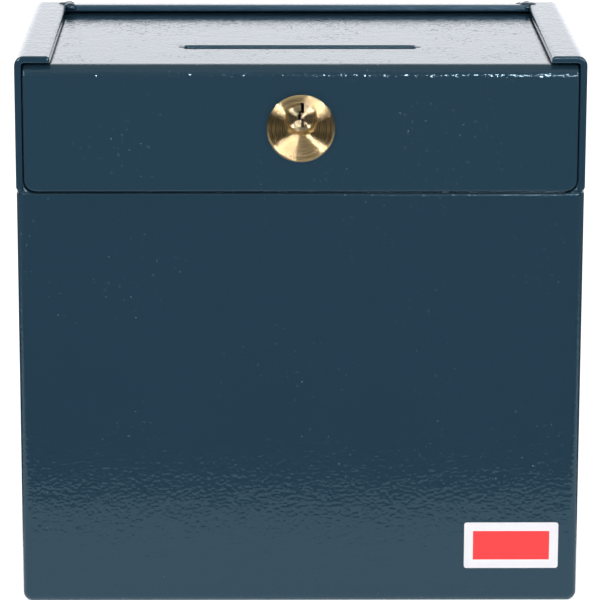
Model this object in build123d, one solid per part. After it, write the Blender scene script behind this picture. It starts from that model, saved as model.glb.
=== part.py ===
from build123d import *
import os
from math import asin, pi, sqrt

# Small surface-mounted deposit safe: a folded steel box, a lid that slides out forwards
# under the folded-over edges, and a pin tumbler lock that throws a bolt down behind the front.
# Millimetres, +Z up, front towards -Y. Everything is drawn with y = 0 on the front panel
# and moved once, so that the origin is at the bottom centre, lock head included.

# Box
width = 200.0
depth = 120.0
height = 200.0
sheet = 2.4
bend_outer = 3.4
edge_break = 0.4
flange_edge_round = 1.4
side_flange = 12.4
rear_flange = 8.0
back_sheet = 2.0
front_drop = 48.8
slit_height = 0.6
slit_depth = 6.5
slit_reach = 1.4
strip_corner = 1.8
wall_hole_radius = 4.25
wall_hole_spacing_x = 120.0
wall_hole_spacing_z = 110.0
weld_radius = 3.0
weld_rise = 0.8
weld_end_gap = 1.0

# Lid
lid_sheet = 2.0
lid_bend = 4.2
lid_drop = 0.8
lid_edge_break = 0.4
side_gap = 0.4
rear_gap = 0.5
joint_gap = 0.7
flap_corner = 4.2
lid_rear_chamfer = 3.0
slot_length = 82.6
slot_width = 7.0
slot_corner = 1.4
slot_nick_reach = 1.8
slot_nick_width = 1.0
slot_behind_front = 37.7
slot_edge_break = 0.35

# Guides, stops and the strike inside the box
rail_sheet = 2.0
rail_shelf = 13.0
rail_leg = 14.0
rail_play = 0.3
rail_front = 6.5
ledge_shelf = 12.0
ledge_side_gap = 1.0
guard_sheet = 2.0
guard_rise = 4.0
guard_height = 16.0
guard_side_gap = 4.0
strike_sheet = 2.0
strike_half_width = 25.0
strike_leg = 13.0
strike_behind_bolt = 6.0
strike_drop = 0.4
strike_play = 0.5

# Baffle under the slot
baffle_sheet = 1.5
baffle_half_width = 48.0
baffle_flange = 8.0
baffle_behind_slot = 2.0
baffle_reach_forward = 12.0
baffle_reach_down = 21.0

# Lock cylinder and plug
head_diameter = 23.9
head_proud = 1.5
head_chamfer = 0.6
lock_drop = 25.4
cylinder_diameter = 22.0
cylinder_rear = 18.0
cylinder_flat = 10.2
cylinder_play = 0.15
plug_diameter = 11.6
plug_play = 0.05
plug_rise = 3.5
plug_shoulder_step = 0.5
plug_shoulder_length = 1.8
plug_recess = 0.25
plug_face_diameter = 8.6
plug_face_chamfer = 0.75
keyway_stop = 16.8
keyway_width = 1.1
keyway_offset = 0.55
keyway_mouth_width = 2.3
keyway_mouth_depth = 0.8
keyway_depth = 8.5
pin_count = 4
pin_pitch = 3.0
pin_first = 3.2
pin_radius = 1.2
pin_play = 0.1
key_pin_lengths = [3.4, 4.2, 3.0, 4.6]
driver_pin_length = 2.8
cover_sheet = 0.8
cover_half_width = 1.6
nut_across_flats = 27.0
nut_height = 4.0
thread_play = 0.1

# Bolt work
bolt_sheet = 3.0
bolt_half_width = 13.5
bolt_throw = 11.0
bolt_play = 0.3
cam_hub_radius = 6.3
cam_hub_gap = 0.7
cam_tooth_reach = 9.5
cam_tooth_width = 3.0
cam_gap = 0.4
tenon_width = 6.5
tenon_play = 0.1
screw_radius = 1.25
screw_length = 4.0
screw_head_radius = 2.75
screw_head_height = 1.8
peg_radius = 1.5
peg_head_radius = 2.4
peg_head_height = 0.9
peg_corner = 3.0
peg_play = 0.05
detent_sheet = 0.5
detent_end_gap = 1.6

# Lock case and its fixings
case_sheet = 1.5
case_corner = 2.0
case_top_gap = 0.4
case_slide_gap = 1.8
case_wall_gap = 0.4
ear_width = 12.0
ear_corner = 3.0
ear_end_gap = 2.0
stud_radius = 2.0
stud_length = 8.0
stud_play = 0.2
small_nut_across_flats = 7.0
small_nut_height = 3.2

# Levels and planes that several pieces share
half_width = width / 2
bend_inner = bend_outer - sheet
front_top = height - front_drop
flange_under = height - sheet
wall_inside = half_width - sheet
back_inside = depth - back_sheet
lid_top = flange_under - lid_drop
lid_under = lid_top - lid_sheet
lid_half = wall_inside - side_gap
lid_rear = back_inside - rear_gap
flap_bottom = front_top + joint_gap
web_round = flap_corner + side_gap
web_start = wall_inside - web_round
rail_top = lid_under - rail_play
lock_z = height - lock_drop
plug_z = lock_z + plug_rise
plug_radius = plug_diameter / 2
barrel_radius = plug_radius - plug_shoulder_step
plug_front = plug_recess - head_proud
shoulder_rear = plug_front + plug_shoulder_length
case_front = lid_sheet
bolt_front = cylinder_rear + bolt_play
bolt_rear = bolt_front + bolt_sheet
case_floor = bolt_rear + bolt_play
case_rear = case_floor + case_sheet
case_bottom = front_top + guard_rise + case_slide_gap
case_top = lid_under - lid_bend + lid_sheet - case_top_gap
peg_x = bolt_half_width + bolt_play + peg_radius
case_inner_half = peg_x + peg_radius + case_wall_gap
case_outer_half = case_inner_half + case_sheet
stud_x = case_outer_half + ear_width / 2
strike_top = front_top - strike_drop
front_shift = (head_proud - depth) / 2


def block(x0, x1, y0, y1, z0, z1):
    """Box between two corners."""
    middle = Pos((x0 + x1) / 2, (y0 + y1) / 2, (z0 + z1) / 2)
    return middle * Box(x1 - x0, y1 - y0, z1 - z0)


def rod(radius, y0, y1, x=0.0, z=0.0):
    """Round bar along Y."""
    return Pos(x, (y0 + y1) / 2, z) * Rot(90, 0, 0) * Cylinder(radius, y1 - y0)


def post(radius, z0, z1, x=0.0, y=0.0):
    """Round bar along Z."""
    return Pos(x, y, (z0 + z1) / 2) * Cylinder(radius, z1 - z0)


def hex_bar(across_flats, y0, y1, x=0.0, z=0.0):
    """Hexagon bar along Y."""
    outline = RegularPolygon(across_flats / 2, 6, major_radius=False)
    bar = extrude(outline, y1 - y0)
    return Pos(x, y1, z) * Rot(90, 0, 0) * bar


def profile_yz(points, half_length):
    """Closed outline in the YZ plane, extruded both ways along X."""
    face = make_face(Plane.YZ * Polyline(*points, close=True))
    return extrude(face, half_length, both=True)


def profile_xz(points, y0, y1):
    """Closed outline in the XZ plane, extruded along Y."""
    plane = Plane((0, y1, 0), x_dir=(1, 0, 0), z_dir=(0, -1, 0))
    face = make_face(plane * Polyline(*points, close=True))
    return extrude(face, y1 - y0, dir=(0, -1, 0))


def folded_sheet(path, thickness, radius, half_length):
    """Sheet that follows a path in the YZ plane, with rounded folds."""
    line = FilletPolyline(*path, radius=radius)
    face = make_face(offset(line, thickness / 2, side=Side.BOTH, kind=Kind.INTERSECTION))
    return extrude(Plane.YZ * face, half_length, both=True)


def edges_along(shape, axis, test):
    """Edges parallel to an axis whose middle passes a test."""
    return shape.edges().filter_by(axis).filter_by(lambda e: test(e.center()))


def edges_at(shape, y, z):
    """Edges along X at one place in the YZ plane."""
    return edges_along(shape, Axis.X, lambda c: abs(c.Y - y) < 0.01 and abs(c.Z - z) < 0.01)


def box_block(inset, radius, y_front, y_rear, z_bottom):
    """Lower box as a solid, with folds at the bottom and the two front corners."""
    x = half_width - inset
    solid = block(-x, x, y_front, y_rear, z_bottom, front_top)
    corners = edges_along(solid, Axis.Z, lambda c: c.Y < y_front + 1)
    floor = solid.edges().group_by(Axis.Z)[0].filter_by(lambda e: e.center().Y < y_rear - 1)
    return fillet(corners + floor, radius)


def upper_block(inset, radius, y_front, y_rear, z_top):
    """Upper box as a solid between the side walls, rounded along its top."""
    x = half_width - inset
    solid = block(-x, x, y_front, y_rear, front_top, z_top)
    return fillet(edges_along(solid, Axis.Y, lambda c: c.Z > z_top - 1), radius)


def cavity(y_rear):
    """Space inside the folded sheet, open at the front above the front panel."""
    lower = box_block(sheet, bend_inner, sheet, y_rear, sheet)
    upper = upper_block(sheet, bend_inner, sheet, y_rear, flange_under)
    return lower + upper


def make_body_shell():
    outer = box_block(0, bend_outer, 0, depth, 0)
    outer += upper_block(0, bend_outer, 0, depth, height)
    mouth_x = half_width - side_flange
    mouth = block(-mouth_x, mouth_x, -1, depth + 1, front_top, height + 1)
    open_front = upper_block(sheet, bend_inner, -1, sheet, flange_under)
    open_rear = cavity(depth + 1)
    shell = outer - open_rear - open_front - mouth
    shell -= strip_ends()
    flange_tops = edges_along(
        shell, Axis.Y, lambda c: abs(abs(c.X) - mouth_x) < 0.01 and abs(c.Z - height) < 0.01
    )
    shell = fillet(flange_tops, flange_edge_round)
    front_ends = shell.faces().filter_by(
        lambda f: abs(f.center().Y) < 0.01 and f.center().Z > front_top
    )
    shell = chamfer(front_ends.edges(), edge_break)
    panel_top = [(-1, front_top - edge_break - 1), (-1, front_top + 1), (edge_break + 1, front_top + 1)]
    return shell - profile_yz(panel_top, web_start)


def strip_ends():
    """Slits that free the front panel's folds from the side walls, and the rounded ends above them."""
    slit_top = front_top + slit_height
    centre_x = half_width - strip_corner
    centre_z = slit_top + strip_corner
    cuts = []
    for side in (-1, 1):
        inner, outer = sorted((side * (wall_inside - 1), side * (half_width + 1)))
        cuts.append(block(inner, outer, -1, slit_depth, front_top, slit_top))
        inner, outer = sorted((side * centre_x, side * (half_width + 1)))
        corner = block(inner, outer, -1, slit_depth, slit_top, centre_z)
        cuts.append(corner - rod(strip_corner, -2, slit_depth + 1, side * centre_x, centre_z))
    return cuts


def make_back_plate():
    plate = block(-half_width, half_width, back_inside, depth, 0, flange_under) & cavity(depth)
    flange_x = half_width - side_flange
    flange = profile_yz(
        [
            (depth - rear_flange, height),
            (depth, height),
            (depth, flange_under - bend_outer),
            (back_inside, flange_under - bend_outer),
            (back_inside, flange_under),
            (depth - rear_flange, flange_under),
        ],
        flange_x,
    )
    outside = edges_along(flange, Axis.X, lambda c: c.Y > depth - 0.01 and c.Z > height - 0.01)
    flange = fillet(outside, bend_outer)
    flange = fillet(edges_at(flange, back_inside, flange_under), bend_inner)
    flange = fillet(edges_along(flange, Axis.X, lambda c: c.Y < depth - rear_flange + 0.01), edge_break)
    plate += flange
    for x in (-wall_hole_spacing_x / 2, wall_hole_spacing_x / 2):
        for z in (-wall_hole_spacing_z / 2, wall_hole_spacing_z / 2):
            plate -= rod(wall_hole_radius, back_inside - 1, depth + 1, x, height / 2 + z)
    return plate


def make_front_web(side):
    """Weld in the mouth's lower corner, ground to a hollow round the flap's corner."""
    x = side * web_start
    inner, outer = sorted((x, side * wall_inside))
    web = block(inner, outer, 0, sheet, front_top, front_top + web_round)
    web -= rod(web_round, -1, sheet + 1, x, front_top + web_round)
    hollow = web.edges().filter_by(GeomType.CIRCLE).group_by(Axis.Y)[0]
    web = chamfer(hollow, edge_break)
    inner, outer = sorted((side * (wall_inside - web_round / 2), side * (half_width - slit_reach)))
    return web + block(inner, outer, 0, sheet, front_top, front_top + slit_height)


def make_corner_welds():
    """Weld beads on the rear seams of the flanges, and the webs in the mouth's lower corners."""
    seam_x = half_width - side_flange
    seam_front = depth - rear_flange
    flanges = block(-half_width, half_width, seam_front, depth, 0, height)
    flanges += block(-half_width, -seam_x, 0, depth, 0, height)
    flanges += block(seam_x, half_width, 0, depth, 0, height)
    beads = []
    for side in (-1, 1):
        x = side * seam_x
        z = height + weld_rise - weld_radius
        bead = rod(weld_radius, seam_front, depth - weld_end_gap, x, z)
        bead += Pos(x, seam_front, z) * Sphere(weld_radius)
        bead -= block(-width, width, 0, depth, 0, flange_under + edge_break)
        beads.append(bead - flanges)
        beads.append(make_front_web(side))
    return beads


def make_guide_rail(side):
    """Angle that carries one edge of the lid."""
    x = wall_inside
    outline = [
        (x, rail_top),
        (x - rail_shelf, rail_top),
        (x - rail_shelf, rail_top - rail_sheet),
        (x - rail_sheet, rail_top - rail_sheet),
        (x - rail_sheet, rail_top - rail_leg),
        (x, rail_top - rail_leg),
    ]
    rail = profile_xz([(side * px, pz) for px, pz in outline], rail_front, back_inside)
    corner = edges_along(
        rail,
        Axis.Y,
        lambda c: abs(abs(c.X) - x + rail_sheet) < 0.01 and abs(c.Z - rail_top + rail_sheet) < 0.01,
    )
    rail = fillet(corner, rail_sheet / 2)
    toe = edges_along(rail, Axis.Z, lambda c: abs(c.X) < x - rail_shelf + 0.01 and c.Y < rail_front + 0.01)
    return chamfer(toe, rail_shelf / 3)


def make_rear_ledge():
    """Angle on the back plate under the lid's rear edge."""
    half = wall_inside - rail_shelf - ledge_side_gap
    ledge = profile_yz(
        [
            (back_inside, rail_top),
            (back_inside - ledge_shelf, rail_top),
            (back_inside - ledge_shelf, rail_top - rail_sheet),
            (back_inside - rail_sheet, rail_top - rail_sheet),
            (back_inside - rail_sheet, rail_top - rail_leg),
            (back_inside, rail_top - rail_leg),
        ],
        half,
    )
    corner = edges_at(ledge, back_inside - rail_sheet, rail_top - rail_sheet)
    return fillet(corner, rail_sheet / 2)


def make_joint_guard():
    """Strip behind the joint between the flap and the front panel."""
    half = wall_inside - guard_side_gap
    top = front_top + guard_rise
    strip = block(-half, half, sheet, sheet + guard_sheet, top - guard_height, top)
    return chamfer(edges_along(strip, Axis.Y, lambda c: c.Z > top - 0.01), guard_rise / 2)


def make_strike_bracket():
    """Angle behind the front panel with the slot that the bolt drops into."""
    y0 = sheet + guard_sheet
    y1 = bolt_rear + strike_behind_bolt
    bracket = profile_yz(
        [
            (y0, strike_top),
            (y1, strike_top),
            (y1, strike_top - strike_sheet),
            (y0 + strike_sheet, strike_top - strike_sheet),
            (y0 + strike_sheet, strike_top - strike_leg),
            (y0, strike_top - strike_leg),
        ],
        strike_half_width,
    )
    bracket = fillet(edges_at(bracket, y0, strike_top), strike_sheet * 1.5)
    bracket = fillet(edges_at(bracket, y0 + strike_sheet, strike_top - strike_sheet), strike_sheet / 2)
    bolt_hole_x = bolt_half_width + strike_play
    bracket -= block(
        -bolt_hole_x, bolt_hole_x, bolt_front - strike_play, bolt_rear + strike_play,
        strike_top - 2 * strike_sheet, strike_top + 1,
    )
    tips = edges_along(bracket, Axis.Z, lambda c: c.Y > y1 - 0.01)
    return fillet(tips, strike_behind_bolt / 2)


def make_lid():
    """One sheet folded into the top plate and the front flap."""
    lid = profile_yz(
        [
            (0, flap_bottom),
            (0, lid_top),
            (lid_rear, lid_top),
            (lid_rear, lid_under),
            (lid_sheet, lid_under),
            (lid_sheet, flap_bottom),
        ],
        lid_half,
    )
    lid = fillet(edges_along(lid, Axis.X, lambda c: c.Y < 0.01 and c.Z > lid_top - 0.01), lid_bend)
    lid = fillet(edges_at(lid, lid_sheet, lid_under), lid_bend - lid_sheet)
    lid = fillet(edges_along(lid, Axis.Y, lambda c: c.Z < flap_bottom + 0.01), flap_corner)
    lid = chamfer(edges_along(lid, Axis.Z, lambda c: c.Y > lid_rear - 0.01), lid_rear_chamfer)
    front = lid.edges().filter_by(lambda e: e.bounding_box().max.Y < 0.01)
    lid = chamfer(front, lid_edge_break)
    lid -= deposit_cut(RectangleRounded(slot_length, slot_width, slot_corner))
    rim = lid.edges().filter_by(
        lambda e: abs(e.bounding_box().min.Z - lid_top) < 0.01
        and abs(e.center().Y - slot_behind_front) < slot_width
        and abs(e.center().X) < slot_length / 2 + 0.01
    )
    lid = chamfer(rim, slot_edge_break)
    lid -= deposit_cut(Rectangle(slot_length + 2 * slot_nick_reach, slot_nick_width))
    return lid - cylinder_body(cylinder_play, -1, lid_sheet + 1)


def deposit_cut(outline):
    """Cut straight down through the lid's top, round the middle of the deposit slot."""
    return Pos(0, slot_behind_front, lid_under - 1) * extrude(outline, lid_sheet + 2)


def cylinder_body(grow, y0, y1):
    """Round lock body with its two flats."""
    radius = cylinder_diameter / 2 + grow
    flat = cylinder_flat + grow
    return rod(radius, y0, y1, 0, lock_z) & block(
        -flat, flat, y0, y1, lock_z - 2 * radius, lock_z + 2 * radius
    )


def make_slot_baffle():
    """Bent plate that turns what is dropped in forwards and hides the slot from below."""
    y_fold = slot_behind_front + slot_width / 2 + baffle_behind_slot
    z_flange = lid_under - baffle_sheet / 2
    path = [
        (y_fold + baffle_flange, z_flange),
        (y_fold, z_flange),
        (y_fold - baffle_reach_forward, z_flange - baffle_reach_down),
    ]
    return folded_sheet(path, baffle_sheet, baffle_sheet * 1.5, baffle_half_width)


def pin_places():
    return [pin_first + pin_pitch * i for i in range(pin_count)]


def make_lock_cylinder():
    head = rod(head_diameter / 2, -head_proud, 0, 0, lock_z)
    head = chamfer(head.edges().group_by(Axis.Y)[0], head_chamfer)
    body = head + cylinder_body(0, 0, cylinder_rear)
    body -= rod(plug_radius + plug_play, -head_proud - 1, shoulder_rear + plug_play, 0, plug_z)
    body -= rod(barrel_radius + plug_play, -head_proud - 1, cylinder_rear + 1, 0, plug_z)
    bottom = lock_z - cylinder_diameter
    for y in pin_places():
        body -= post(pin_radius + pin_play, bottom, plug_z - barrel_radius / 2, 0, y)
    groove = cover_half_width + pin_play / 2
    body -= block(-groove, groove, cover_front(), cylinder_rear + 1, bottom, cover_top())
    return body


def cover_front():
    return pin_first - 1.5 * pin_radius


def cover_top():
    reach = sqrt((cylinder_diameter / 2) ** 2 - cover_half_width**2)
    return lock_z - reach + cover_sheet + pin_play


def make_spring_cover():
    z1 = cover_top()
    return block(-cover_half_width, cover_half_width, cover_front(), cylinder_rear, z1 - cover_sheet, z1)


def keyway_outline():
    """Warded keyway, open at the plug's top edge."""
    top = plug_radius + 1
    mouth = plug_radius - keyway_mouth_depth
    low = plug_radius - keyway_depth
    step = (mouth - low) / 3
    right = keyway_offset
    left = -keyway_offset
    bars = Pos(0, (mouth + top) / 2) * Rectangle(keyway_mouth_width, top - mouth)
    stretches = [
        (right, mouth, mouth - step),
        (left, mouth - step, mouth - 2 * step),
        (right, mouth - 2 * step, low),
    ]
    for x, high, bottom in stretches:
        overlap = keyway_width / 4
        bars += Pos(x, (high + bottom) / 2) * Rectangle(keyway_width, high - bottom + 2 * overlap)
    return bars


def make_lock_plug():
    plug = rod(plug_radius, plug_front, shoulder_rear, 0, plug_z)
    rim = plug.edges().group_by(Axis.Y)[0]
    face_inset = (plug_diameter - plug_face_diameter) / 2
    front_face = plug.faces().sort_by(Axis.Y)[0]
    plug = chamfer(rim, face_inset, plug_face_chamfer, reference=front_face)
    plug += rod(barrel_radius, shoulder_rear, bolt_front, 0, plug_z)
    half = tenon_width / 2
    plug += block(-half, half, bolt_front, bolt_rear, plug_z - half, plug_z + half)
    plane = Plane((0, keyway_stop, plug_z), x_dir=(1, 0, 0), z_dir=(0, -1, 0))
    plug -= extrude(plane * keyway_outline(), keyway_stop - plug_front + 1)
    for y in pin_places():
        plug -= post(pin_radius + pin_play, plug_z - plug_diameter, plug_z, 0, y)
    return plug - rod(screw_radius, bolt_rear - screw_length, bolt_rear + 1, 0, plug_z)


def key_pin_foot():
    """Foot of the key pins, inside the plug's round surface."""
    return plug_z - sqrt(barrel_radius**2 - pin_radius**2)


def make_key_pins():
    pins = []
    foot = key_pin_foot()
    for y, length in zip(pin_places(), key_pin_lengths):
        pins.append(post(pin_radius, foot, foot + length, 0, y))
    return pins


def make_driver_pins():
    top = plug_z - barrel_radius - plug_play
    return [post(pin_radius, top - driver_pin_length, top, 0, y) for y in pin_places()]


def make_pin_springs():
    top = plug_z - barrel_radius - plug_play - driver_pin_length
    return [post(pin_radius, cover_top(), top, 0, y) for y in pin_places()]


def make_cylinder_nut():
    y0 = lid_sheet
    y1 = y0 + nut_height
    bore = cylinder_diameter / 2 + thread_play
    return hex_bar(nut_across_flats, y0, y1, 0, lock_z) - rod(bore, y0 - 1, y1 + 1, 0, lock_z)


def tooth_corner():
    return sqrt(cam_tooth_reach**2 + (cam_tooth_width / 2) ** 2)


def make_drive_cam():
    """Hub with one tooth, which drives the bolt once in each turn of the key."""
    hub = rod(cam_hub_radius, bolt_front, bolt_rear, 0, plug_z)
    half = cam_tooth_width / 2
    tooth = block(-half, half, bolt_front, bolt_rear, plug_z, plug_z + cam_tooth_reach)
    tooth = fillet(edges_along(tooth, Axis.Y, lambda c: c.Z > plug_z + 1), half * 0.8)
    bore = tenon_width / 2 + tenon_play
    return hub + tooth - block(-bore, bore, bolt_front - 1, bolt_rear + 1, plug_z - bore, plug_z + bore)


def make_cam_screw():
    head = rod(screw_head_radius, bolt_rear, bolt_rear + screw_head_height, 0, plug_z)
    shank = rod(screw_radius - thread_play / 2, bolt_rear - screw_length + 0.5, bolt_rear, 0, plug_z)
    cut = screw_head_height / 3
    end = bolt_rear + screw_head_height
    driver_slot = block(
        -screw_head_radius, screw_head_radius, end - cut, end + cut, plug_z - cut / 2, plug_z + cut / 2
    )
    return head + shank - driver_slot


def make_lock_bolt():
    """Plate bolt, forked round the plug's tail, with the talon that the cam's tooth drives."""
    top = case_top - case_sheet - bolt_play
    bolt = block(-bolt_half_width, bolt_half_width, bolt_front, bolt_rear, case_bottom, top)
    nose = edges_along(bolt, Axis.Y, lambda c: c.Z < case_bottom + 0.01)
    bolt = chamfer(nose, bolt_sheet / 2)
    corner = tooth_corner()
    inner = cam_hub_radius + cam_hub_gap
    clear = corner + cam_gap
    fork = block(-clear, inner, bolt_front - 1, bolt_rear + 1, plug_z - inner, top + 1)
    fork = fillet(edges_along(fork, Axis.Y, lambda c: c.Z < plug_z), cam_hub_radius / 2)
    enter = asin(inner / corner)
    rise = sqrt(corner**2 - inner**2)
    talon_top = plug_z + rise + bolt_throw * enter / (2 * pi) + cam_gap
    talon_bottom = plug_z - rise + bolt_throw * (pi - enter) / (2 * pi) - cam_gap
    talon = block(0, clear, bolt_front - 1, bolt_rear + 1, talon_bottom, talon_top)
    return bolt - fork - talon


def peg_places():
    low = case_bottom + case_sheet + peg_corner
    high = case_top - case_sheet - peg_corner
    return [(-peg_x, high), (peg_x, low)]


def make_bolt_keeper():
    """Plate in front of the bolt, on two pegs that are riveted over behind the case."""
    x = case_inner_half - bolt_play
    keeper_rear = bolt_front - bolt_play
    plate = block(
        -x, x, keeper_rear - case_sheet, keeper_rear,
        case_bottom + case_sheet + bolt_play, case_top - case_sheet - bolt_play,
    )
    plate = chamfer(edges_along(plate, Axis.Y, lambda c: True), case_corner)
    plate -= rod(cylinder_diameter / 2 + cylinder_play, 0, bolt_front, 0, lock_z)
    for x, z in peg_places():
        plate += rod(peg_radius, keeper_rear, case_rear, x, z)
        plate += rod(peg_head_radius, case_rear, case_rear + peg_head_height, x, z)
    return plate


def make_detent_spring():
    """Leaf spring cranked out from the case wall to the bolt's edge."""
    low = case_bottom + case_sheet + peg_corner + peg_radius + detent_end_gap
    high = case_top - case_sheet - peg_corner - peg_radius - detent_end_gap
    third = (high - low) / 3
    wall = -case_inner_half + detent_sheet / 2
    crown = -bolt_half_width - bolt_play - detent_sheet / 2
    path = Polyline((wall, low), (crown, low + third), (crown, high - third), (wall, high))
    leaf = make_face(offset(path, detent_sheet / 2, side=Side.BOTH, kind=Kind.INTERSECTION))
    plane = Plane((0, bolt_rear, 0), x_dir=(1, 0, 0), z_dir=(0, -1, 0))
    leaf = extrude(plane * leaf, bolt_sheet, dir=(0, -1, 0))
    return leaf & block(-case_inner_half, 0, 0, case_floor, low - 1, high + 1)


def stud_places():
    return [(side * stud_x, (case_bottom + case_top) / 2) for side in (-1, 1)]


def make_lock_case():
    """Pressed case, open towards the flap, with two fixing ears."""
    outer = block(-case_outer_half, case_outer_half, case_front, case_rear, case_bottom, case_top)
    outer = fillet(edges_along(outer, Axis.Y, lambda c: True), case_corner)
    outer = chamfer(outer.edges().group_by(Axis.Y)[-1], case_sheet / 2)
    inner = block(
        -case_inner_half, case_inner_half, case_front - 1, case_floor,
        case_bottom + case_sheet, case_top - case_sheet,
    )
    ear_x = case_outer_half + ear_width
    ears = block(
        -ear_x, ear_x, case_front, case_front + case_sheet,
        case_bottom + ear_end_gap, case_top - ear_end_gap,
    )
    ears = chamfer(edges_along(ears, Axis.Y, lambda c: True), ear_corner)
    case = outer + ears - inner
    bolt_hole_x = bolt_half_width + bolt_play
    case -= block(
        -bolt_hole_x, bolt_hole_x, bolt_front - bolt_play, bolt_rear + bolt_play,
        case_bottom - 1, case_bottom + 2 * case_sheet,
    )
    case -= rod(screw_head_radius + cam_hub_gap, case_floor - 1, case_rear + 1, 0, plug_z)
    for x, z in peg_places():
        case -= rod(peg_radius + peg_play, case_floor - 1, case_rear + 1, x, z)
    for x, z in stud_places():
        case -= rod(stud_radius + stud_play, case_front - 1, case_front + 2 * case_sheet, x, z)
    return case


def make_lock_studs():
    return [rod(stud_radius, lid_sheet, lid_sheet + stud_length, x, z) for x, z in stud_places()]


def make_lock_nuts():
    y0 = case_front + case_sheet
    y1 = y0 + small_nut_height
    nuts = []
    for x, z in stud_places():
        nut = hex_bar(small_nut_across_flats, y0, y1, x, z)
        nuts.append(nut - rod(stud_radius + thread_play / 2, y0 - 1, y1 + 1, x, z))
    return nuts


PIECES = {
    "body_shell": make_body_shell,
    "back_plate": make_back_plate,
    "corner_welds": make_corner_welds,
    "left_guide_rail": lambda: make_guide_rail(-1),
    "right_guide_rail": lambda: make_guide_rail(1),
    "rear_ledge": make_rear_ledge,
    "joint_guard": make_joint_guard,
    "strike_bracket": make_strike_bracket,
    "lid": make_lid,
    "slot_baffle": make_slot_baffle,
    "lock_cylinder": make_lock_cylinder,
    "cylinder_nut": make_cylinder_nut,
    "lock_case": make_lock_case,
    "bolt_keeper": make_bolt_keeper,
    "lock_studs": make_lock_studs,
    "lock_nuts": make_lock_nuts,
    "driver_pins": make_driver_pins,
    "pin_springs": make_pin_springs,
    "spring_cover": make_spring_cover,
    "detent_spring": make_detent_spring,
    "lock_plug": make_lock_plug,
    "key_pins": make_key_pins,
    "drive_cam": make_drive_cam,
    "cam_screw": make_cam_screw,
    "lock_bolt": make_lock_bolt,
}


def solids_of(shape):
    """Separate solids of a piece or a list of pieces, moved to the part's origin."""
    parts = shape if isinstance(shape, list) else [shape]
    moved = [Pos(0, front_shift, 0) * solid for part in parts for solid in part.solids()]
    return moved[0] if len(moved) == 1 else Compound(children=moved)


os.makedirs("parts", exist_ok=True)
for name, make in PIECES.items():
    export_step(solids_of(make()), f"parts/{name}.step")
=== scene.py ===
import math

import bmesh
import bpy
from mathutils import Matrix, Vector


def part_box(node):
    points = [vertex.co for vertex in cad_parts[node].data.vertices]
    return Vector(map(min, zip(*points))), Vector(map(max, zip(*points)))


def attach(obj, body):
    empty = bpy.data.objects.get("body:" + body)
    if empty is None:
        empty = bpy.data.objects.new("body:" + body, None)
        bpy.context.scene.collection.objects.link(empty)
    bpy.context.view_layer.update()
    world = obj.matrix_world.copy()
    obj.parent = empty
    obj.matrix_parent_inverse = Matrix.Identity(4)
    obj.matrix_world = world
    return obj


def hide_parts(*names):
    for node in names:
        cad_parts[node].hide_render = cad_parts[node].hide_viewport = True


# Looks of a small painted steel deposit safe. Lengths are in metres, in the part's own frame:
# +Z up, the front faces -Y, the origin is at the bottom centre.

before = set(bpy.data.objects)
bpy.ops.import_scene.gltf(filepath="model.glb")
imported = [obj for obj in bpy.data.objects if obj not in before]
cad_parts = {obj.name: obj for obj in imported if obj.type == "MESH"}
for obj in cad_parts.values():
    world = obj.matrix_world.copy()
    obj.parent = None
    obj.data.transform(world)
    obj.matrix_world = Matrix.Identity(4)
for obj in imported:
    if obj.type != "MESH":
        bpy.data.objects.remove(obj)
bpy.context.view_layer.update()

MM = 0.001

# Directions
to_right = Vector((1.0, 0.0, 0.0))
to_rear = Vector((0.0, 1.0, 0.0))
upwards = Vector((0.0, 0.0, 1.0))

# Places on the safe
front_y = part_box("body_shell")[0].y
bar_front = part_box("back_plate")[0].y
lid_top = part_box("lid")[1].z

# Lock: the plug's bore lies off the head's centre
lock_low, lock_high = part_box("lock_cylinder")
head_centre_z = lock_high.z - (lock_high.x - lock_low.x) / 2
plug_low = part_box("lock_plug")[0]
plug_radius = 5.8 * MM
plug_axis_z = plug_low.z + plug_radius
keyway_dark_start = plug_low.y + 0.25 * MM
keyway_dark_radius = 4.9 * MM
thread_start = front_y + 2.2 * MM
thread_radius = 10.6 * MM

# Deposit slot: a box that takes in its walls and the nicks at its ends, and stays under the lid's top
slot_y = front_y + 37.7 * MM
slot_half_length = 43.5 * MM
slot_half_width = 3.8 * MM
slot_rim = 0.15 * MM

# Camera, as solved from the box's edges in the photograph. Its lens and sensor are in millimetres.
camera_lens = 213.1
camera_sensor = 36.0
camera_place = (-14.4 * MM, front_y - 1220.9 * MM, 414.4 * MM)
camera_pitch = math.radians(13.881)
camera_yaw = math.radians(0.667)
camera_roll = math.radians(0.117)
camera_nearest = 0.05
camera_farthest = 50.0

# Light from all round, and the soft lamps: place, width and height
room_light = 0.55
lamp_power = 9.0
lamp_aim = Vector((0.0, 0.0, 0.12))
lamps = {
    "left_lamp": ((-1.10, -2.00, 1.00), 0.60, 0.60),
    "right_lamp": ((0.90, -2.00, 0.95), 0.90, 0.70),
}

# Pale hall: the floor, and walls that only the camera sees
hall_half_width = 6.0
hall_front = -5.0
hall_depth = 11.0
hall_height = 8.0
white = (1.0, 1.0, 1.0)
floor_colour = (0.86, 0.87, 0.88)
floor_roughness = 0.6
floor_glow = 0.7

# Reflected room: its floor is dark in the middle, and lit in front of the safe and under its front
room_half_width = 3.0
room_front = -3.2
room_depth = 4.4
room_height = 3.0
dark_half_width = 0.55
dark_wall_height = 0.9
room_floor_lift = 0.4 * MM
table_lift = 0.8 * MM
table_front = front_y - 127 * MM
table_depth = 186 * MM
backdrop_half_width = 4.0
backdrop_y = 3.0
backdrop_foot = 0.05
backdrop_height = 3.0

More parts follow.
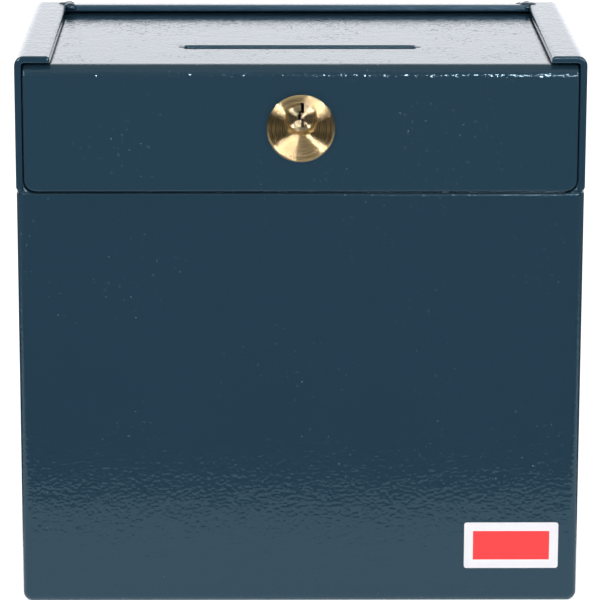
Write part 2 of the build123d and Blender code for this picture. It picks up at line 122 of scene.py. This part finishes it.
# Windows in front of the safe. Their sides are slopes as seen from the lock: metres to the right or up
# for each metre to the front. The right window is split into panes.
window_distance = 2.0
window_edge_distance = 2.1
pane_count = 4
first_pane = 0.12
pane_width = 0.06
pane_pitch = 0.13
pane_heights = (0.15, 0.235)
windows = {
    "right_window_edge": ((0.05, 0.72), (0.06, 0.36), window_edge_distance, "window_edge_light"),
    "left_window": ((-0.90, -0.60), (0.36, 0.54), window_distance, "side_window_light"),
    "left_window_edge": ((-1.08, -0.45), (0.22, 0.70), window_edge_distance, "window_edge_light"),
    "left_high_light": ((-1.24, -1.08), (0.72, 1.04), window_distance, "high_light"),
    "right_high_light": ((1.08, 1.24), (0.72, 1.04), window_distance, "high_light"),
}

# What the room and the windows give off: colour and strength
reflected_lights = {
    "dark_room": ((0.030, 0.027, 0.020), 1.0),
    "side_floor": ((0.20, 0.20, 0.20), 1.0),
    "grey_wall": ((0.24, 0.24, 0.24), 1.0),
    "dim_ceiling": ((0.62, 0.64, 0.66), 1.0),
    "lit_table": ((0.95, 0.97, 1.03), 1.0),
    "bright_backdrop": ((0.938, 0.953, 1.0), 1.76),
    "window_pane_light": ((0.97, 0.97, 1.10), 72.0),
    "window_edge_light": ((0.95, 0.97, 1.15), 1.2),
    "side_window_light": ((0.95, 0.97, 1.15), 34.0),
    "high_light": ((1.0, 0.98, 0.96), 110.0),
}

# Colours of the finishes
box_colour = (0.0160, 0.0415, 0.0665)
lid_colour = (0.0178, 0.0450, 0.0700)
brass_colour = (0.88, 0.66, 0.33)
plug_colour = (0.74, 0.59, 0.34)
pin_colour = (0.75, 0.55, 0.28)
keyway_dark_colour = (0.06, 0.035, 0.018)
zinc_colour = (0.62, 0.63, 0.65)
steel_colour = (0.42, 0.43, 0.45)
vinyl_white = (0.80, 0.79, 0.82)
vinyl_red = (0.92, 0.028, 0.030)

# Noises in the finishes, in cells per metre
peel_cells = 920.0
swell_cells = 150.0
speck_cells = 760.0
speck_patch_cells = 45.0
paint_cloud_cells = 30.0
scratch_cells = 2400.0
tarnish_cells = 600.0
rolling_mark_cells = 2500.0
metal_cloud_cells = 120.0
vinyl_grain_cells = 500.0

# Paint: softness of the edges under it, colour that its gloss gives to reflections, and its gloss
paint_round = 1.2 * MM
paint_sheen = (0.66, 0.94, 1.0)
paint_refraction = 1.5
outer_paint_roughness = 0.045
inner_paint_roughness = 0.2
cloud_roughness = 0.04

# Orange peel, whose swell and specks are shares of its own height. It is deeper on the lid's bend, where
# the paint has gathered, and shallower on the lid's top.
peel_height = 0.11 * MM
peel_stretch = (0.8, 1.0, 1.0)
swell_height = 0.8
speck_height = 0.8
bend_heights = (lid_top - 6.0 * MM, lid_top - 4.0 * MM)
bend_peel_gain = 0.3
top_heights = (lid_top - 2.5 * MM, lid_top - 0.5 * MM)
top_peel_loss = 0.7

# Specks: how strong a speck's noise has to be, so that a lower level gives more of them
few_specks = 0.742
lid_specks = 0.73
speck_softness = 0.06
speck_patch_levels = (0.48, 0.60)
speck_cover = 0.4

# Shades of the paint's colour, and the paler, duller coat that stands as painted light on the slot's walls
# and the bar's cut edge
cloud_shade = 0.94
speck_shade = 1.5
speck_haze = 0.02
painted_light_shade = 1.9
painted_light_roughness = 0.25
bar_edge_depth = 0.45 * MM

# Turned brass: grooves, the darker rings that the lathe's feed leaves, scratches and tarnish
groove_pitch = 0.11 * MM
groove_slope = 1.05
plain_groove_share = 1.15
ring_groove_loss = 0.8
ring_pitch = 0.42 * MM
ring_levels = (0.50, 0.58)
ring_darkness = 0.65
lathe_centre = 0.05 * MM
scratch_depth = 0.02 * MM
tarnish_darkness = 0.2
tarnish_roughness = 0.08
keyway_dull_roughness = 0.4
dark_brass_shade = 0.45

# Plain metal, and the threads on it and on the brass
rolling_mark_depth = 0.01 * MM
metal_cloud_shade = 0.8
metal_cloud_roughness = 0.12
cylinder_thread_pitch = 1.0 * MM
stud_thread_pitch = 0.7 * MM

# Pin springs in the lock
pin_count = 4
first_pin = 3.2 * MM
pin_pitch = 3.0 * MM
spring_radius = 0.95 * MM
spring_wire = 0.2 * MM
spring_turns = 6
spring_turn_steps = 16
spring_wire_sides = 8

# Welds: webs in the mouth's lower corners, and beads at the rear ends of the flanges
merge_distance = 0.001 * MM
rear_welds_start = front_y + 50 * MM
ripple_subdivisions = 3
weld_voxel = 0.18 * MM

# Ripples of the two beads, in millimetres: centre and radii of each
left_ripples = [
    ((-86.2, 113.2, 199.2), (2.4, 2.2, 1.55)),
    ((-87.4, 115.6, 199.4), (2.6, 2.2, 1.35)),
    ((-86.9, 117.8, 199.5), (2.3, 1.6, 1.25)),
    ((-84.9, 112.9, 198.9), (1.5, 1.6, 1.2)),
    ((-88.8, 116.5, 199.7), (2.0, 2.2, 0.9)),
]
right_ripples = [
    ((86.6, 115.4, 199.4), (2.6, 2.4, 1.35)),
    ((88.6, 116.2, 199.5), (2.6, 2.4, 1.1)),
    ((84.6, 117.2, 199.2), (2.2, 2.0, 1.2)),
    ((87.2, 117.8, 199.6), (2.2, 1.6, 1.15)),
    ((87.0, 113.0, 199.0), (1.1, 1.4, 0.9)),
]

# Sticker on the front
sticker_left = 59.1 * MM
sticker_width = 33.9 * MM
sticker_bottom = 13.0 * MM
sticker_height = 17.15 * MM
sticker_corner = 0.9 * MM
sticker_corner_steps = 6
sticker_thickness = 0.12 * MM
sticker_border = 3.2 * MM
sticker_roughness = 0.3
sticker_grain_depth = 0.01 * MM
sticker_centre_x = sticker_left + sticker_width / 2
sticker_centre_z = sticker_bottom + sticker_height / 2


# Shader maths


class Value:
    """A shader socket that takes part in Python expressions."""

    def __init__(self, sheet, socket):
        self.sheet = sheet
        self.socket = socket

    def math(self, operation, *others):
        """A Math node on this value and the others."""
        return self.sheet.node("ShaderNodeMath", {"operation": operation}, [self, *others])

    def __add__(self, other):
        return self.math("ADD", other)

    def __radd__(self, other):
        return self.math("ADD", other)

    def __sub__(self, other):
        return self.math("SUBTRACT", other)

    def __rsub__(self, other):
        return self.sheet.node("ShaderNodeMath", {"operation": "SUBTRACT"}, [other, self])

    def __mul__(self, other):
        return self.math("MULTIPLY", other)

    def __rmul__(self, other):
        return self.math("MULTIPLY", other)

    def __truediv__(self, other):
        return self.math("DIVIDE", other)

    def __rtruediv__(self, other):
        return self.sheet.node("ShaderNodeMath", {"operation": "DIVIDE"}, [other, self])

    def less(self, limit):
        """1 where the value is below the limit, and 0 elsewhere."""
        return self.math("LESS_THAN", limit)

    def more(self, limit):
        """1 where the value is above the limit, and 0 elsewhere."""
        return self.math("GREATER_THAN", limit)

    def between(self, low, high):
        """0 below low, 1 above high, smooth between them."""
        return self.sheet.node(
            "ShaderNodeMapRange",
            {"interpolation_type": "SMOOTHSTEP"},
            {"Value": self, "From Min": low, "From Max": high},
        )

    def size(self):
        """The value without its sign."""
        return self.math("ABSOLUTE")

    def saw(self):
        """Rises from -0.5 to 0.5 in each whole step of the value, and falls back at once."""
        return self.math("FRACT") - 0.5

    def clamp(self):
        """The value kept between 0 and 1."""
        return self.sheet.node("ShaderNodeClamp", {}, [self])


class Sheet:
    """One material with the nodes on it, and the place on the safe that they start from."""

    def __init__(self, name):
        self.material = bpy.data.materials.new(name)
        self.material.use_nodes = True
        self.tree = self.material.node_tree
        self.shader = self.tree.nodes["Principled BSDF"]
        self.output = self.tree.nodes["Material Output"]
        self.place = self.node("ShaderNodeTexCoord", {}, {}, "Object")
        parts = self.node("ShaderNodeSeparateXYZ", {}, [self.place]).socket.node.outputs
        self.x, self.y, self.z = (Value(self, part) for part in parts)

    def node(self, kind, settings, values, output=0):
        """New node with its settings made first, then its sockets filled or linked."""
        made = self.tree.nodes.new(kind)
        for key, setting in settings.items():
            setattr(made, key, setting)
        pairs = values.items() if isinstance(values, dict) else enumerate(values)
        for key, value in pairs:
            self.put(made.inputs[key], value)
        return Value(self, made.outputs[output])

    def put(self, socket, value):
        """Links a value to a socket, or sets the socket to a number, a vector or a colour."""
        if isinstance(value, Value):
            self.tree.links.new(value.socket, socket)
        elif hasattr(socket.default_value, "__len__"):
            sized = tuple(value) + (1.0,) * (len(socket.default_value) - len(value))
            socket.default_value = sized
        else:
            socket.default_value = value

    def finish(self, **sockets):
        """Fills the shader's sockets, named with underscores for spaces."""
        for key, value in sockets.items():
            self.put(self.shader.inputs[key.replace("_", " ")], value)
        return self.material

    def noise(self, scale, detail=2.0, roughness=0.5, place=None):
        """Cloudy value from 0 to 1. Scale is in cells per metre."""
        return self.node(
            "ShaderNodeTexNoise",
            {"noise_dimensions": "3D"},
            {"Vector": place or self.place, "Scale": scale, "Detail": detail, "Roughness": roughness},
        )

    def bump(self, height, distance, normal=None):
        """Normal of a surface raised by height times distance."""
        values = {"Height": height, "Distance": distance}
        if normal is not None:
            values["Normal"] = normal
        return self.node("ShaderNodeBump", {}, values)

    def bevel(self, radius, samples):
        """Normal of a surface whose edges are rounded by radius."""
        return self.node("ShaderNodeBevel", {"samples": samples}, {"Radius": radius})

    def mix(self, factor, first, second):
        """Colour between two colours. A colour Mix has its factor at socket 0 and its colours at 6 and 7."""
        return self.node("ShaderNodeMix", {"data_type": "RGBA"}, {0: factor, 6: first, 7: second}, output=2)


def shade(colour, share):
    """The colour made lighter or darker."""
    return tuple(part * share for part in colour)


# Camera


def place_camera():
    """Camera at the photograph's viewpoint."""
    forward = Vector(
        (
            math.sin(camera_yaw) * math.cos(camera_pitch),
            math.cos(camera_yaw) * math.cos(camera_pitch),
            -math.sin(camera_pitch),
        )
    )
    level = Vector((math.cos(camera_yaw), -math.sin(camera_yaw), 0.0))
    upright = level.cross(forward)
    right = level * math.cos(camera_roll) + upright * math.sin(camera_roll)
    up = upright * math.cos(camera_roll) - level * math.sin(camera_roll)
    data = bpy.data.cameras.new("camera")
    data.sensor_width = camera_sensor
    data.lens = camera_lens
    data.clip_start = camera_nearest
    data.clip_end = camera_farthest
    camera = bpy.data.objects.new("camera", data)
    axes = Matrix((right, up, -forward)).transposed()
    camera.matrix_world = Matrix.Translation(camera_place) @ axes.to_4x4()
    bpy.context.scene.collection.objects.link(camera)
    bpy.context.scene.camera = camera


# Floor, room and light


def flat_card(name, corner, along, across, material, seen_by=None):
    """Flat four-sided stage surface from a corner and its two edges.

    Where seen_by is "camera" or "glossy", only the camera or only reflections show it.
    """
    form = bmesh.new()
    corner = Vector(corner)
    points = (corner, corner + along, corner + along + across, corner + across)
    form.faces.new([form.verts.new(point) for point in points])
    mesh = bpy.data.meshes.new(name)
    form.to_mesh(mesh)
    form.free()
    mesh.materials.append(material)
    card = bpy.data.objects.new(name, mesh)
    if seen_by:
        for rays in ("camera", "diffuse", "glossy", "transmission", "shadow"):
            setattr(card, "visible_" + rays, rays == seen_by)
    bpy.context.scene.collection.objects.link(card)


def glow(name, colour, strength):
    """Plain glowing material of the stage."""
    sheet = Sheet(name)
    emission = sheet.node("ShaderNodeEmission", {}, {"Color": colour, "Strength": strength})
    sheet.put(sheet.output.inputs["Surface"], emission)
    return sheet.material


def floor_material():
    """Pale floor, lit from below like a studio table."""
    return Sheet("floor_white").finish(
        Base_Color=floor_colour,
        Roughness=floor_roughness,
        Emission_Color=white,
        Emission_Strength=floor_glow,
    )


def light_world():
    """Even white light from all round, and colours shown as they are."""
    world = bpy.data.worlds.new("studio")
    world.use_nodes = True
    background = world.node_tree.nodes["Background"]
    background.inputs["Color"].default_value = (*white, 1.0)
    background.inputs["Strength"].default_value = room_light
    bpy.context.scene.world = world
    bpy.context.scene.view_settings.view_transform = "Standard"


def build_pale_hall():
    """Pale floor, and pale walls behind everything that the camera may look at."""
    width = to_right * (2 * hall_half_width)
    depth = to_rear * hall_depth
    height = upwards * hall_height
    left_front = Vector((-hall_half_width, hall_front, 0.0))
    flat_card("floor", left_front, width, depth, floor_material())
    pale = glow("pale_wall", white, 1.0)
    flat_card("rear_pale_wall", left_front + depth, width, height, pale, seen_by="camera")
    flat_card("front_pale_wall", left_front, width, height, pale, seen_by="camera")
    flat_card("left_pale_wall", left_front, depth, height, pale, seen_by="camera")
    flat_card("right_pale_wall", left_front + width, depth, height, pale, seen_by="camera")


def build_reflected_room(lights):
    """Dim room with a bright backdrop, which the paint and the brass mirror."""
    left, right = -room_half_width, room_half_width
    width = to_right * (right - left)
    dark_width = to_right * (2 * dark_half_width)
    side_width = to_right * (right - dark_half_width)
    backdrop_width = to_right * (2 * backdrop_half_width)
    depth = to_rear * room_depth
    height = upwards * room_height
    dark_height = upwards * dark_wall_height
    table_corner = (-dark_half_width, table_front, table_lift)
    backdrop_corner = (-backdrop_half_width, backdrop_y, backdrop_foot)
    surfaces = [
        ("dark_floor", (-dark_half_width, room_front, room_floor_lift), dark_width, depth, "dark_room"),
        ("left_floor", (left, room_front, room_floor_lift), side_width, depth, "side_floor"),
        ("right_floor", (dark_half_width, room_front, room_floor_lift), side_width, depth, "side_floor"),
        ("lit_table", table_corner, dark_width, to_rear * table_depth, "lit_table"),
        ("front_wall", (left, room_front, 0.0), width, dark_height, "dark_room"),
        ("front_wall_top", (left, room_front, dark_wall_height), width, height - dark_height, "grey_wall"),
        ("left_wall", (left, room_front, 0.0), depth, height, "dark_room"),
        ("right_wall", (right, room_front, 0.0), depth, height, "dark_room"),
        ("ceiling", (left, room_front, room_height), width, depth, "dim_ceiling"),
        ("backdrop", backdrop_corner, backdrop_width, upwards * backdrop_height, "bright_backdrop"),
    ]
    for name, corner, along, across, light in surfaces:
        flat_card(name, corner, along, across, lights[light], seen_by="glossy")


def light_window(name, x_slopes, z_slopes, distance, material):
    """Bright card in front of the safe that only reflections show."""
    left, right = (slope * distance for slope in x_slopes)
    bottom, top = (head_centre_z + slope * distance for slope in z_slopes)
    corner = (left, front_y - distance, bottom)
    flat_card(name, corner, to_right * (right - left), upwards * (top - bottom), material, seen_by="glossy")


def build_windows(lights):
    """The right window's panes, then the other windows and the soft light round them."""
    for number in range(pane_count):
        start = first_pane + number * pane_pitch
        name = f"right_window_pane_{number + 1}"
        sides = (start, start + pane_width)
        light_window(name, sides, pane_heights, window_distance, lights["window_pane_light"])
    for name, (x_slopes, z_slopes, distance, light) in windows.items():
        light_window(name, x_slopes, z_slopes, distance, lights[light])


def soft_lamp(name, place, width, height):
    """Soft rectangular lamp turned towards the middle of the safe, without a reflection of its own."""
    data = bpy.data.lights.new(name, "AREA")
    data.shape = "RECTANGLE"
    data.size = width
    data.size_y = height
    data.energy = lamp_power
    lamp = bpy.data.objects.new(name, data)
    lamp.location = place
    lamp.rotation_mode = "QUATERNION"
    lamp.rotation_quaternion = (lamp_aim - Vector(place)).to_track_quat("-Z", "Y")
    lamp.visible_glossy = False
    bpy.context.scene.collection.objects.link(lamp)


def build_studio():
    """Pale hall and soft light, and the room and windows that the safe reflects."""
    light_world()
    build_pale_hall()
    lights = {name: glow(name, colour, strength) for name, (colour, strength) in reflected_lights.items()}
    build_reflected_room(lights)
    build_windows(lights)
    for name, (place, width, height) in lamps.items():
        soft_lamp(name, place, width, height)


# Finishes


def slot_walls_painted_light(sheet):
    """1 on the walls of the deposit slot, which are painted paler and less glossy: painted light for the
    light that falls into the slot.
    """
    inside = sheet.x.size().less(slot_half_length) * (sheet.y - slot_y).size().less(slot_half_width)
    return inside * sheet.z.less(lid_top - slot_rim)


def bar_edge_painted_light(sheet):
    """1 on the cut edge of the rear flange, above the lid, which is painted paler and less glossy: painted
    light.
    """
    return sheet.y.less(bar_front + bar_edge_depth)


def lid_peel(sheet):
    """How deep the lid's peel is: deeper where the paint has gathered on the bend, shallower on the top."""
    bend = sheet.z.between(*bend_heights)
    top = sheet.z.between(*top_heights)
    return 1.0 + bend * bend_peel_gain - top * top_peel_loss


def hammered_paint(
    name, colour, rough=outer_paint_roughness, specks=few_specks, painted_light=None, peel_depth=None
):
    """Glossy powder paint: rounded over the edges, with an orange-peel surface and a few specks.

    The optional mask is painted light: where it is 1 the coat is painted paler and made less glossy.
    peel_depth gives the depth of the peel from place to place.
    """
    sheet = Sheet(name)
    drawn_out = sheet.node("ShaderNodeMapping", {}, {"Vector": sheet.place, "Scale": peel_stretch})
    peel = sheet.noise(peel_cells, detail=0.6, roughness=0.45, place=drawn_out)
    swell = sheet.noise(swell_cells, detail=1.0)
    relief = peel + swell * swell_height
    if peel_depth:
        relief = relief * peel_depth(sheet)

    speck_patches = sheet.noise(speck_patch_cells, detail=1.0).between(*speck_patch_levels)
    grit = sheet.noise(speck_cells, detail=0.0).between(specks, specks + speck_softness) * speck_patches
    relief = relief + grit * speck_height

    cloud = sheet.noise(paint_cloud_cells, detail=3.0)
    ground = sheet.mix(cloud, shade(colour, cloud_shade), colour)
    speck_colour = tuple(part + speck_haze for part in shade(colour, speck_shade))
    coat = sheet.mix(grit * speck_cover, ground, speck_colour)
    gloss = rough + cloud * cloud_roughness
    if painted_light:
        # Painted light: the masked walls and edges are made paler than the paint around them.
        light_share = painted_light(sheet)
        coat = sheet.mix(light_share, coat, shade(colour, painted_light_shade))
        gloss = gloss + light_share * painted_light_roughness
    return sheet.finish(
        Base_Color=coat,
        Roughness=gloss,
        IOR=paint_refraction,
        Specular_Tint=paint_sheen,
        Normal=sheet.bump(relief, peel_height, normal=sheet.bevel(paint_round, samples=16)),
    )


def lathe_tilt(sheet, radius, dz, slope):
    """The slope of a lathe's grooves as a vector away from the axis."""
    safe_radius = radius.math("MAXIMUM", lathe_centre)
    outward = sheet.node("ShaderNodeCombineXYZ", {}, [sheet.x / safe_radius, 0.0, dz / safe_radius])
    outward = sheet.node(
        "ShaderNodeVectorTransform",
        {"vector_type": "VECTOR", "convert_from": "OBJECT", "convert_to": "WORLD"},
        [outward],
    )
    return sheet.node("ShaderNodeVectorMath", {"operation": "SCALE"}, {0: outward, "Scale": slope})


def turned_brass(name, axis_z, colour, rough, round_edge, threads=None, darkening=None):
    """Brass turned on a lathe: fine grooves and darker rings round an axis along Y, and a softened rim.

    Where the threads mask is 1 it carries a fine screw thread, and where the keyway mask is 1 it is darker
    and duller.
    """
    sheet = Sheet(name)
    dz = sheet.z - axis_z
    radius = (sheet.x * sheet.x + dz * dz).math("SQRT")
    feed_marks = sheet.node(
        "ShaderNodeTexNoise",
        {"noise_dimensions": "1D"},
        {"W": radius, "Scale": 1.0 / ring_pitch, "Detail": 2.0},
    )
    ring = feed_marks.between(*ring_levels)
    groove = (radius * (1.0 / groove_pitch)).saw()
    slope = groove * groove_slope * (plain_groove_share - ring * ring_groove_loss)
    scratches = sheet.noise(scratch_cells, detail=2.0)
    facing = sheet.bump(scratches, scratch_depth, normal=sheet.bevel(round_edge, samples=6))
    tilt = lathe_tilt(sheet, radius, dz, slope)
    tilted = sheet.node("ShaderNodeVectorMath", {"operation": "ADD"}, [facing, tilt])
    normal = sheet.node("ShaderNodeVectorMath", {"operation": "NORMALIZE"}, [tilted])
    if threads:
        turn = dz.math("ARCTAN2", sheet.x) * (0.5 / math.pi)
        flank = (sheet.y * (1.0 / cylinder_thread_pitch) + turn).saw().size()
        normal = sheet.bump(flank * threads(sheet, radius), cylinder_thread_pitch, normal=normal)

    tarnish = sheet.noise(tarnish_cells, detail=3.0)
    darkness = (ring * ring_darkness + tarnish * tarnish_darkness).clamp()
    finish_colour = sheet.mix(darkness, colour, shade(colour, dark_brass_shade))
    gloss = rough + tarnish * tarnish_roughness
    if darkening:
        keyway_share = darkening(sheet, radius)
        finish_colour = sheet.mix(keyway_share, finish_colour, keyway_dark_colour)
        gloss = gloss + keyway_share * keyway_dull_roughness
    return sheet.finish(Base_Color=finish_colour, Metallic=1.0, Roughness=gloss, Normal=normal)


def keyway_darkening(sheet, radius):
    """1 inside the keyway, behind the plug's face, where the brass is made darker and duller."""
    return sheet.y.more(keyway_dark_start) * radius.less(keyway_dark_radius)


def cylinder_threads(sheet, radius):
    """1 on the round outside of the lock cylinder, behind the lid's sheet."""
    return sheet.y.more(thread_start) * radius.more(thread_radius)


def plain_metal(name, colour, rough, thread_pitch=None):
    """Plated or bare metal with fine rolling marks, or threaded along Y."""
    sheet = Sheet(name)
    normal = sheet.bump(sheet.noise(rolling_mark_cells, detail=2.0), rolling_mark_depth)
    if thread_pitch:
        flank = (sheet.y * (1.0 / thread_pitch)).saw().size()
        normal = sheet.bump(flank, thread_pitch, normal=normal)
    cloud = sheet.noise(metal_cloud_cells, detail=3.0)
    return sheet.finish(
        Base_Color=sheet.mix(cloud, shade(colour, metal_cloud_shade), colour),
        Metallic=1.0,
        Roughness=rough + cloud * metal_cloud_roughness,
        Normal=normal,
    )


def sticker_print():
    """White vinyl with one plain red field."""
    sheet = Sheet("sticker_vinyl")
    across = (sheet.x - sticker_centre_x).size()
    up = (sheet.z - sticker_centre_z).size()
    field = across.less(sticker_width / 2 - sticker_border) * up.less(sticker_height / 2 - sticker_border)
    return sheet.finish(
        Base_Color=sheet.mix(field, vinyl_white, vinyl_red),
        Roughness=sticker_roughness,
        Normal=sheet.bump(sheet.noise(vinyl_grain_cells), sticker_grain_depth),
    )


# Pieces that the frame doesn't carry


def piece(name, form, body, material):
    """Finished piece from a bmesh, riding on a body."""
    bmesh.ops.recalc_face_normals(form, faces=form.faces)
    mesh = bpy.data.meshes.new(name)
    form.to_mesh(mesh)
    form.free()
    mesh.materials.append(material)
    made = bpy.data.objects.new(name, mesh)
    bpy.context.scene.collection.objects.link(made)
    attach(made, body)
    return made


def make_sticker():
    """Rounded vinyl sticker on the front panel."""
    form = bmesh.new()
    bmesh.ops.create_cube(form, size=1.0)
    size = Vector((sticker_width, sticker_thickness, sticker_height))
    middle = Vector((sticker_centre_x, front_y - sticker_thickness / 2, sticker_centre_z))
    bmesh.ops.scale(form, vec=size, verts=form.verts)
    bmesh.ops.translate(form, vec=middle, verts=form.verts)
    corners = [e for e in form.edges if abs(e.verts[0].co.y - e.verts[1].co.y) > sticker_thickness / 2]
    bmesh.ops.bevel(
        form,
        geom=corners,
        offset=sticker_corner,
        segments=sticker_corner_steps,
        affect="EDGES",
        profile=0.5,
        material=-1,
    )
    piece("sticker", form, "box", sticker_print())


def make_front_webs(material):
    """The webs in the mouth's lower corners, taken over from the frame's welds."""
    form = bmesh.new()
    form.from_mesh(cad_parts["corner_welds"].data)
    bmesh.ops.remove_doubles(form, verts=form.verts, dist=merge_distance)
    rear_welds = [v for v in form.verts if v.co.y > rear_welds_start]
    bmesh.ops.delete(form, geom=rear_welds, context="VERTS")
    webs = piece("front_webs", form, "box", material)
    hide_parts("corner_welds")


def make_weld_bead(name, ripples, material):
    """Hand-laid weld at the end of a flange's seam: ripples run together into one lumpy bead.

    Each ripple has its centre, measured from the middle, the front plane and the floor, and its three radii.
    """
    form = bmesh.new()
    for (x, y, z), radii in ripples:
        centre = Vector((x * MM, front_y + y * MM, z * MM))
        stretch = Matrix.Diagonal((*(radius * MM for radius in radii), 1.0))
        place = Matrix.Translation(centre) @ stretch
        bmesh.ops.create_icosphere(form, subdivisions=ripple_subdivisions, radius=1.0, matrix=place)
    bead = piece(name, form, "box", material)
    melt = bead.modifiers.new("melt", "REMESH")
    melt.mode = "VOXEL"
    melt.voxel_size = weld_voxel
    melt.use_smooth_shade = True
    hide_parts("corner_welds")


def make_pin_springs(material):
    """Four coil springs that press the pin stacks up."""
    low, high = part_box("pin_springs")
    rise = (high.z - low.z - 2 * spring_wire) / spring_turns
    form = bmesh.new()
    for number in range(pin_count):
        y = front_y + first_pin + number * pin_pitch
        start = Vector((spring_radius, y, low.z + spring_wire))
        place = Matrix.Translation(start) @ Matrix.Rotation(math.pi / 2, 4, "X")
        ring = bmesh.ops.create_circle(
            form, segments=spring_wire_sides, radius=spring_wire, matrix=place
        )["verts"]
        edges = {e for v in ring for e in v.link_edges}
        bmesh.ops.spin(
            form,
            geom=[*ring, *edges],
            cent=(0.0, y, 0.0),
            axis=upwards,
            dvec=upwards * (rise / spring_turn_steps),
            angle=2 * math.pi * spring_turns,
            steps=spring_turn_steps * spring_turns,
            use_duplicate=False,
        )
    bmesh.ops.holes_fill(form, edges=[e for e in form.edges if e.is_boundary], sides=0)
    springs = piece("coil_springs", form, "lid", material)
    for face in springs.data.polygons:
        face.use_smooth = True
    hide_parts("pin_springs")


# Building the scene

place_camera()
build_studio()

box_paint = hammered_paint("box_paint", box_colour)
# The rear flange's cut edge is painted paler, as painted light.
bar_paint_with_painted_light = hammered_paint("bar_paint_with_painted_light", box_colour, painted_light=bar_edge_painted_light)
# The slot's walls in the lid are painted paler, as painted light.
lid_paint = hammered_paint(
    "lid_paint", lid_colour, specks=lid_specks, painted_light=slot_walls_painted_light, peel_depth=lid_peel
)
inner_paint = hammered_paint("inner_paint", box_colour, rough=inner_paint_roughness)
head_brass = turned_brass(
    "head_brass", head_centre_z, brass_colour, rough=0.11, round_edge=0.30 * MM, threads=cylinder_threads
)
plug_brass = turned_brass(
    "plug_brass", plug_axis_z, plug_colour, rough=0.13, round_edge=0.15 * MM, darkening=keyway_darkening
)
pin_brass = plain_metal("pin_brass", pin_colour, rough=0.3)
zinc = plain_metal("zinc_plate", zinc_colour, rough=0.32)
zinc_thread = plain_metal("zinc_thread", zinc_colour, rough=0.32, thread_pitch=stud_thread_pitch)
steel = plain_metal("bare_steel", steel_colour, rough=0.36)

finishes = {
    "body_shell": box_paint,
    "back_plate": bar_paint_with_painted_light,
    "corner_welds": box_paint,
    "left_guide_rail": inner_paint,
    "right_guide_rail": inner_paint,
    "rear_ledge": inner_paint,
    "joint_guard": inner_paint,
    "strike_bracket": inner_paint,
    "lid": lid_paint,
    "slot_baffle": inner_paint,
    "lock_cylinder": head_brass,
    "cylinder_nut": pin_brass,
    "lock_case": zinc,
    "bolt_keeper": zinc,
    "lock_studs": zinc_thread,
    "lock_nuts": zinc,
    "driver_pins": pin_brass,
    "pin_springs": steel,
    "spring_cover": pin_brass,
    "detent_spring": steel,
    "lock_plug": plug_brass,
    "key_pins": pin_brass,
    "drive_cam": steel,
    "cam_screw": zinc,
    "lock_bolt": steel,
}
for node_name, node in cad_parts.items():
    node.data.materials.clear()
    node.data.materials.append(finishes[node_name])

make_sticker()
make_front_webs(box_paint)
make_weld_bead("left_weld_bead", left_ripples, box_paint)
make_weld_bead("right_weld_bead", right_ripples, box_paint)
make_pin_springs(steel)
